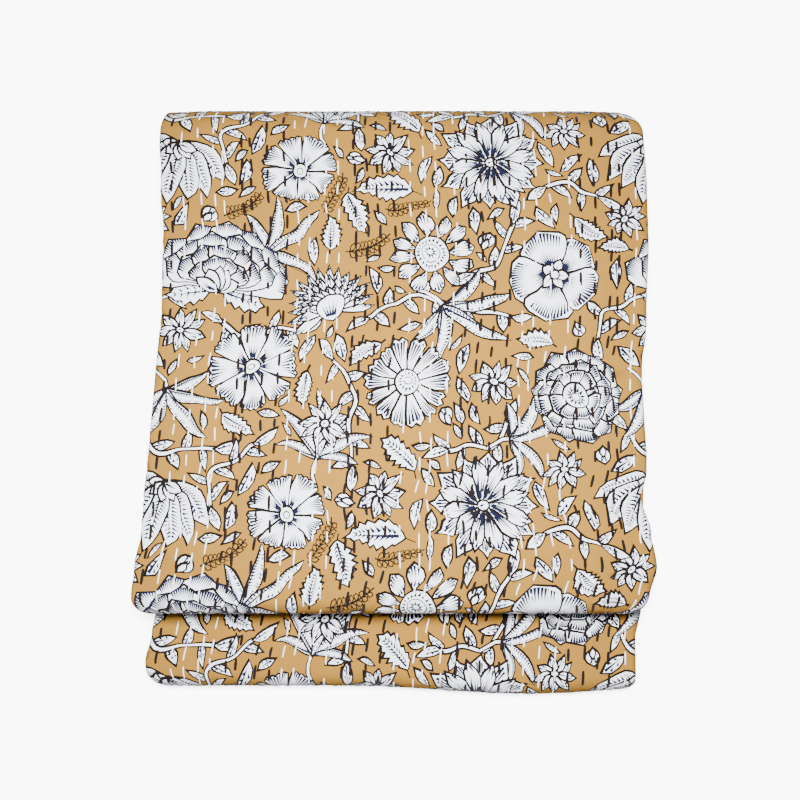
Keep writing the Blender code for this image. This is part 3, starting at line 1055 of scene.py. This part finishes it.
def reverse_grid():
    """The hidden reverse of the cloth, as a grid of the same outline."""
    ps, qs = grid_marks(ACROSS, face_across), grid_marks(ALONG, face_along)
    p, q = (a.ravel() for a in np.meshgrid(ps, qs, indexing="ij"))
    numbers = np.arange(len(p)).reshape(len(ps), len(qs))
    quads = np.stack([numbers[:-1, :-1], numbers[:-1, 1:], numbers[1:, 1:], numbers[1:, :-1]], -1)
    rim = np.concatenate([numbers[:-1, 0], numbers[-1, :-1], numbers[:0:-1, -1], numbers[0, :0:-1]])
    return np.stack([p, q], 1), quads.reshape(-1, 4), rim


face_points, face_triangles, face_ink = outer_face()
reverse_points, reverse_quads, rim = reverse_grid()
face_places = from_face(*face_points.T, face_height(*face_points.T))
reverse_places = from_face(*reverse_points.T, np.full(len(reverse_points), -CLOTH_THICKNESS / 2))

# The hem joins the two: each point of the reverse's rim has its twin on the printed face
twins = {tuple(point): k for k, point in enumerate(np.round(face_points, 2))}
rim_twins = [twins[tuple(point)] for point in np.round(reverse_points[rim], 2)]
count = len(face_points)
hem = [
    (rim_twins[k], count + rim[k], count + rim[(k + 1) % len(rim)], rim_twins[(k + 1) % len(rim)])
    for k in range(len(rim))
]
faces = face_triangles.tolist() + (reverse_quads + count).tolist() + hem
mesh = bpy.data.meshes.new("quilt_cloth")
mesh.from_pydata(np.concatenate([face_places, reverse_places]).tolist(), [], faces)
cloth = placed("quilt_cloth", mesh)
mesh.shade_smooth()
ink = np.concatenate([face_ink, np.zeros(len(faces) - len(face_ink))])
mesh.attributes.new("ink", "FLOAT", "FACE").data.foreach_set("value", ink.astype(np.float32))
layout = mesh.uv_layers.new(name="cloth")
both = np.concatenate([face_points, reverse_points]) / 1000
corners = np.empty(len(mesh.loops), np.int32)
mesh.loops.foreach_get("vertex_index", corners)
layout.uv.foreach_set("vector", both[corners].astype(np.float32).ravel())


# Washed cotton, plain weave, hand-dyed and block-printed with pigment. The eye gets a matt cloth with soft
# slubs and threads, whose colours are a little uneven where the dye took and the blocks were inked. Sizes
# are in metres.
def linear(code):
    """An sRGB hex colour as linear numbers."""
    parts = [int(code[i:i + 2], 16) / 255 for i in (1, 3, 5)]
    return (*(c / 12.92 if c <= 0.04045 else ((c + 0.055) / 1.055) ** 2.4 for c in parts), 1)


def material(name, roughness, specular):
    """A new material with its node tree and its shader."""
    made = bpy.data.materials.new(name)
    made.use_nodes = True
    shader = made.node_tree.nodes["Principled BSDF"]
    shader.inputs["Roughness"].default_value = roughness
    shader.inputs["Specular IOR Level"].default_value = specular
    return made, made.node_tree, shader


def add(tree, kind, inputs=(), **settings):
    """Adds a node: settings are its own, and inputs are sockets with a value or another node's output."""
    made = tree.nodes.new("ShaderNode" + kind)
    for name, value in settings.items():
        setattr(made, name, value)
    for name, value in inputs:
        if isinstance(value, bpy.types.NodeSocket):
            tree.links.new(value, made.inputs[name])
        else:
            made.inputs[name].default_value = value
    return made


GROUND_DYE = "#8E6728"
WHITE_PIGMENT = "#EEF1FB"
LINE_PIGMENT = "#120C0A"
HATCH_PIGMENT = "#10142A"
DYE_PATCH = 0.022
SLUB_WIDE = 0.0011
SLUB_LONG = 0.011
# A real thread is half as wide. This is as fine as still shows.
THREAD_SPACING = 0.0009
THREAD_RELIEF = 0.0002
# The wave node's scale for lines one metre apart
WAVE_SCALE = 2 * math.pi / 20
INK_STEP = 0.25

cotton, tree, shader = material("block_printed_cotton", roughness=0.95, specular=0.15)
spot = add(tree, "UVMap", uv_map="cloth").outputs["UV"]
code = add(tree, "Attribute", attribute_name="ink").outputs["Fac"]
# The ramp has a step for each ink, and a face's ink number picks the place just past the step's start
choice = add(tree, "Math", [(0, code), (1, INK_STEP), (2, INK_STEP / 5)], operation="MULTIPLY_ADD").outputs[0]
inks = add(tree, "ValToRGB", [("Fac", choice)])
inks.color_ramp.interpolation = "CONSTANT"
for number, colour in ((WHITE, WHITE_PIGMENT), (LINE, LINE_PIGMENT), (HATCH, HATCH_PIGMENT)):
    inks.color_ramp.elements.new(number * INK_STEP).color = linear(colour)
inks.color_ramp.elements[0].color = linear(GROUND_DYE)
uneven = add(tree, "TexNoise", [
    ("Vector", spot), ("Scale", 1 / DYE_PATCH), ("Detail", 5.0), ("Roughness", 0.6)])
tone = add(tree, "MapRange", [("Value", uneven.outputs["Fac"]), ("To Min", 0.93), ("To Max", 1.05)])
drawn_out = add(tree, "Mapping", [("Vector", spot), ("Scale", (1 / SLUB_WIDE, 1 / SLUB_LONG, 1))])
slubs = add(tree, "TexNoise", [("Vector", drawn_out.outputs[0]), ("Scale", 1.0), ("Detail", 2.0)])
slub_tone = add(tree, "MapRange", [("Value", slubs.outputs["Fac"]), ("To Min", 0.95), ("To Max", 1.05)])
shade = add(tree, "Math", [(0, tone.outputs[0]), (1, slub_tone.outputs[0])], operation="MULTIPLY").outputs[0]
tinted = add(tree, "VectorMath", [(0, inks.outputs["Color"]), ("Scale", shade)], operation="SCALE")
tree.links.new(tinted.outputs[0], shader.inputs["Base Color"])
weave_height = []
for turned in (0, math.pi / 2):
    threads = add(tree, "Mapping", [("Vector", spot), ("Rotation", (0, 0, turned))]).outputs[0]
    wave = add(tree, "TexWave", [
        ("Vector", threads), ("Scale", WAVE_SCALE / THREAD_SPACING),
        ("Distortion", 1.2), ("Detail", 1.0), ("Detail Scale", 0.4)])
    weave_height.append(wave.outputs["Fac"])
weave = add(tree, "Math", [(0, weave_height[0]), (1, weave_height[1])], operation="MULTIPLY").outputs[0]
both_heights = add(tree, "Math", [(0, weave), (1, slubs.outputs["Fac"])], operation="ADD").outputs[0]
bump = add(tree, "Bump", [("Height", both_heights), ("Distance", THREAD_RELIEF), ("Strength", 0.5)])
tree.links.new(bump.outputs[0], shader.inputs["Normal"])
mesh.materials.append(cotton)

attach(cloth, "root")
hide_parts("quilt")


# The running stitches: soft twisted cotton thread, sewn through the whole quilt by hand in long even
# stitches, four rows in dark maroon and four in white by turns. Each end goes down into the cloth. They are
# drawn broader than the real thread, so that they show.
StitchKind = namedtuple("StitchKind", "name colour width group")
STITCH_KINDS = (
    StitchKind("maroon_running_stitch", "#140809", 2.5, 1),
    StitchKind("white_running_stitch", "#FBFBFF", 1.35, 0),
)
ROWS_IN_GROUP = 4
FIRST_GROUP_SHIFT = 3
STITCH_SEED = 7
STATIONS = 6
SIDES = 5

# Millimetres of the printed face, as the widths above
STITCH_LENGTH = 14.2
STITCH_LEAN = 0.8
PRESSED_FADE = 6

# Shares of the length and pitch between which stitches vary, how bluntly they taper, and the share of its
# height that a stitch loses where the quilt lies on it
LENGTH_VARIES = (0.8, 1.2)
PITCH_VARIES = (0.82, 1.2)
TAPER = 0.35
PRESSED_BELOW = 0.85

# Metres. The strands of a real thread are about half as wide. These are as fine as still show.
THREAD_HEIGHT = 0.00030
THREAD_SUNK = 0.0001
END_DEPTH = 0.0009
WORN_PATCH = 0.006
STRAND_SPACING = 0.0007
STRAND_TWIST = math.radians(35)


def stitches_of(kind):
    """Row, start and length of every stitch in one colour, and how far aside its two ends lie."""
    chance = random.Random(STITCH_SEED + kind.group)
    found = []
    for row in range(STITCH_ROWS):
        if (row + FIRST_GROUP_SHIFT) // ROWS_IN_GROUP % 2 != kind.group:
            continue
        q = ROWS_FROM + chance.uniform(0, STITCH_PITCH)
        while q < ROWS_TO - STITCH_LENGTH:
            length = STITCH_LENGTH * chance.uniform(*LENGTH_VARIES)
            leans = [chance.uniform(-STITCH_LEAN, STITCH_LEAN) for end in range(2)]
            found.append((row, q, length, *leans))
            q += STITCH_PITCH * chance.uniform(*PITCH_VARIES)
    return found


def stitch_mesh(kind):
    """All the stitches of one colour: each a low round thread, pointed where it goes through the cloth."""
    share = np.linspace(0, 1, STATIONS)
    turn = 2 * math.pi * np.arange(SIDES) / SIDES
    p, q, lift, faces = [], [], [], []
    for row, start, length, lean0, lean1 in stitches_of(kind):
        first = len(p)
        along = start + share * length
        middle = row_place(row, along) + lean0 + (lean1 - lean0) * share
        thick = np.sin(math.pi * share) ** TAPER
        rise = THREAD_HEIGHT * thick - END_DEPTH * (1 - thick) ** 2
        for k in range(STATIONS):
            if k in (0, STATIONS - 1):
                p.append(middle[k])
                q.append(along[k])
                lift.append(-END_DEPTH)
                continue
            for angle in turn:
                p.append(middle[k] + kind.width / 2 * math.cos(angle) * thick[k])
                q.append(along[k])
                lift.append(rise[k] - THREAD_SUNK + THREAD_HEIGHT * math.sin(angle))
        rings = [[first + 1 + (k - 1) * SIDES + s for s in range(SIDES)] for k in range(1, STATIONS - 1)]
        last = len(p) - 1
        for s in range(SIDES):
            after = (s + 1) % SIDES
            faces.append((first, rings[0][s], rings[0][after]))
            faces.append((last, rings[-1][after], rings[-1][s]))
            for low, high in zip(rings, rings[1:]):
                faces.append((low[s], high[s], high[after], low[after]))
    p, q, lift = np.array(p), np.array(q), np.array(lift)
    start, end = LAYER["layer 1"]
    under = ease((q - start + PRESSED_FADE) / PRESSED_FADE) * ease((end + PRESSED_FADE - q) / PRESSED_FADE)
    lift = np.where(lift > 0, lift * (1 - PRESSED_BELOW * under), lift)
    places = from_face(p, q, face_height(p, q) + lift)
    made = bpy.data.meshes.new(kind.name)
    made.from_pydata(places.tolist(), [], faces)
    made.shade_smooth()
    return made


# Twisted cotton thread, dyed maroon or bleached white, and washed with the quilt. The eye gets a dull
# thread with a slanted twist, whose tone is uneven where it has worn.
sewn = []
for kind in STITCH_KINDS:
    thread_mesh = stitch_mesh(kind)
    stitch = placed(kind.name, thread_mesh)
    thread_name = kind.name.replace("running_stitch", "cotton_thread")
    thread, tree, shader = material(thread_name, roughness=0.8, specular=0.2)
    place = add(tree, "TexCoord").outputs["Object"]
    worn = add(tree, "TexNoise", [("Vector", place), ("Scale", 1 / WORN_PATCH), ("Detail", 2.0)])
    tone = add(tree, "MapRange", [("Value", worn.outputs["Fac"]), ("To Min", 0.8), ("To Max", 1.15)])
    dyed = linear(kind.colour)[:3]
    tinted = add(tree, "VectorMath", [(0, dyed), ("Scale", tone.outputs[0])], operation="SCALE")
    tree.links.new(tinted.outputs[0], shader.inputs["Base Color"])
    twist = add(tree, "Mapping", [("Vector", place), ("Rotation", (0, 0, STRAND_TWIST))]).outputs[0]
    strands = add(tree, "TexWave", [("Vector", twist), ("Scale", WAVE_SCALE / STRAND_SPACING)])
    bump = add(tree, "Bump", [
        ("Height", strands.outputs["Fac"]), ("Distance", THREAD_RELIEF), ("Strength", 0.6)])
    tree.links.new(bump.outputs[0], shader.inputs["Normal"])
    thread_mesh.materials.append(thread)
    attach(stitch, "root")
    sewn.append(stitch)


# The stage: a plain sweep of matt white paper. The eye gets nothing of it but an even white round the
# quilt, and the quilt gets no light back from it.
FLOOR_SIZE = 8.0
PAPER_WHITE = "#EFEFEF"
bpy.ops.object.select_all(action="DESELECT")
bpy.ops.mesh.primitive_plane_add(size=FLOOR_SIZE)
floor = bpy.context.object
floor.name = "floor"
paper, tree, shader = material("white_paper", roughness=1.0, specular=0.0)
shader.inputs["Base Color"].default_value = linear(PAPER_WHITE)
floor.data.materials.append(paper)
floor.visible_diffuse = False

# One softbox hangs close over the quilt, so that its light falls off round the folds, and a higher one
# lights the sweep alone
Light = namedtuple("Light", "name size power x y z lit")
LIGHTS = (
    Light("quilt_softbox", 0.24, 18.0, -0.01, -0.035, 0.62, (cloth, *sewn)),
    Light("sweep_softbox", 1.6, 1700.0, 0.0, 0.0, 3.8, (floor,)),
)
WORLD_STRENGTH = 0.20
for light in LIGHTS:
    lamp = bpy.data.lights.new(light.name, "AREA")
    lamp.size = light.size
    lamp.energy = light.power
    softbox = placed(light.name, lamp)
    softbox.location = (light.x, light.y, light.z)
    softbox.rotation_euler = softbox.location.to_track_quat("Z", "Y").to_euler()
    receivers = bpy.data.collections.new(f"lit_by_{light.name}")
    softbox.light_linking.receiver_collection = receivers
    for lit in light.lit:
        receivers.objects.link(lit)
world = bpy.data.worlds.new("studio")
world.use_nodes = True
backdrop = world.node_tree.nodes["Background"]
backdrop.inputs["Color"].default_value = (1, 1, 1, 1)
backdrop.inputs["Strength"].default_value = WORLD_STRENGTH
bpy.context.scene.world = world

# The camera looks down on the quilt from in front, nearly from above
CAMERA_ELEVATION = 76.5
CAMERA_DISTANCE = 0.951
CAMERA_TARGET = Vector((0.001, -0.0101, 0.03))
FOCAL_LENGTH = 54.7
SENSOR_WIDTH = 36
camera = placed("camera", bpy.data.cameras.new("camera"))
raised = math.radians(CAMERA_ELEVATION)
camera.location = CAMERA_TARGET + CAMERA_DISTANCE * Vector((0, -math.cos(raised), math.sin(raised)))
camera.rotation_euler = (math.radians(90 - CAMERA_ELEVATION), 0, 0)
camera.data.lens = FOCAL_LENGTH
camera.data.sensor_width = SENSOR_WIDTH
bpy.context.scene.camera = camera
